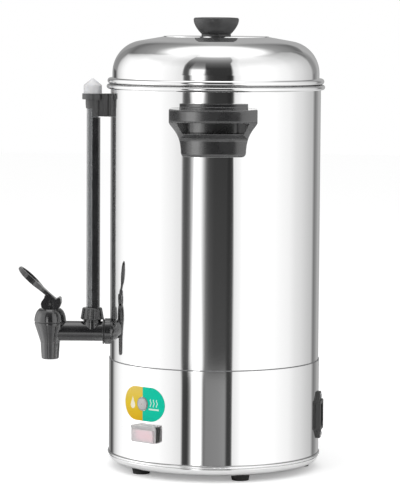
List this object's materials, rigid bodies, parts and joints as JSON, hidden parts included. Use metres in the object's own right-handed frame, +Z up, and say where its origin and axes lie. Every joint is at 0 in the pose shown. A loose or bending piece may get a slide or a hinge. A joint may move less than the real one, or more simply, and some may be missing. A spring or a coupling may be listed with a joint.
{
  "type": "hot water urn",
  "caption": "Tall stainless-steel water boiler on a heated base, with a loose domed lid, black side handles, a lever tap with a sight glass, and a rocker switch",
  "frame": {"origin": "on the tank's axis, in the plane the feet stand on", "axes": "+Z up the tank; the tap points along -X, the handles along -Y and +Y, and the power inlet about +X"},
  "size_m": [0.3225, 0.3, 0.4729],
  "materials": {
    "steel_polished": "mirror-polished stainless sheet",
    "screw_steel": "plain zinc-plated or stainless fasteners",
    "foot_rubber": "matt black rubber",
    "gasket_rubber": "soft black rubber",
    "seal_grey": "soft grey sealing compound",
    "silicone": "soft translucent silicone",
    "black_gloss": "glossy black phenolic moulding",
    "tap_black": "satin to glossy black nylon moulding",
    "black_matte": "matt black moulding",
    "stem_plastic": "dark acetal",
    "clear_glass": "clear borosilicate tube",
    "white_plastic": "white moulding",
    "label_film": "printed self-adhesive film, half yellow and half green",
    "lamp_plastic": "translucent pale lens",
    "lamp_housing": "grey moulding",
    "rocker_plastic": "translucent red moulding",
    "clear_cover": "clear soft vinyl",
    "pin_metal": "nickel-plated brass",
    "heater_aluminium": "cast aluminium plate with a sheathed heating tube",
    "thermostat_brown": "brown phenolic",
    "ceramic_white": "off-white ceramic"
  },
  "bodies": {
    "urn": {"tank": "steel_polished", "seam_seal": "seal_grey", "base_housing": "steel_polished", "bottom_tray": "steel_polished", "feet": "foot_rubber", "foot_screws": "screw_steel", "tie_studs": "screw_steel", "tie_nuts": "screw_steel", "front_handle": "black_gloss", "rear_handle": "black_gloss", "handle_screws": "screw_steel", "tap_body": "tap_black", "tap_spout": "tap_black", "shank_gasket": "gasket_rubber", "shank_washer": "tap_black", "shank_locknut": "screw_steel", "tap_bonnet": "tap_black", "stem_spring": "screw_steel", "gauge_nut": "tap_black", "gauge_seal": "silicone", "sight_glass": "clear_glass", "glass_shield": "tap_black", "gauge_bracket": "tap_black", "bracket_screws": "screw_steel", "vent_plug": "white_plastic", "control_label": "label_film", "lamp_lens": "lamp_plastic", "lamp_holder": "lamp_housing", "switch_body": "black_matte", "splash_cover": "clear_cover", "power_inlet": "black_matte", "inlet_pins": "pin_metal", "inlet_screws": "screw_steel", "heating_element": "heater_aluminium", "boil_thermostat": "thermostat_brown", "dry_boil_cutout": "ceramic_white", "terminal_block": "ceramic_white"},
    "lid": {"lid_dome": "steel_polished", "lid_knob": "black_gloss", "knob_screw": "screw_steel"},
    "stem": {"tap_stem": "stem_plastic", "seat_cup": "silicone", "lever_pin": "stem_plastic"},
    "lever": {"tap_lever": "tap_black"},
    "rocker": {"switch_rocker": "rocker_plastic"}
  },
  "joints": [
    {"name": "lid_lift", "type": "slide", "parent": "urn", "child": "lid", "axis": [0, 0, 1], "range_m": [0, 0.06]},
    {"name": "stem_lift", "type": "slide", "parent": "urn", "child": "stem", "axis": [0, 0, 1], "range_m": [0, 0.0035], "deforming": ["stem_spring"]},
    {"name": "lever_tilt", "type": "hinge", "parent": "stem", "child": "lever", "pos_m": [-0.1734, 0, 0.1705], "axis": [0, -1, 0], "range_deg": [0, 35], "stiffness_Nm_per_rad": 0.02, "springref_deg": -17.19},
    {"name": "rocker_tilt", "type": "hinge", "parent": "urn", "child": "rocker", "pos_m": [-0.06491, -0.08613, 0.0457], "axis": [0, 0, 1], "range_deg": [0, 18]}
  ],
  "couplings": [
    {"joint": "stem_lift", "follows": "lever_tilt", "m_per_rad": 0.0056}
  ]
}
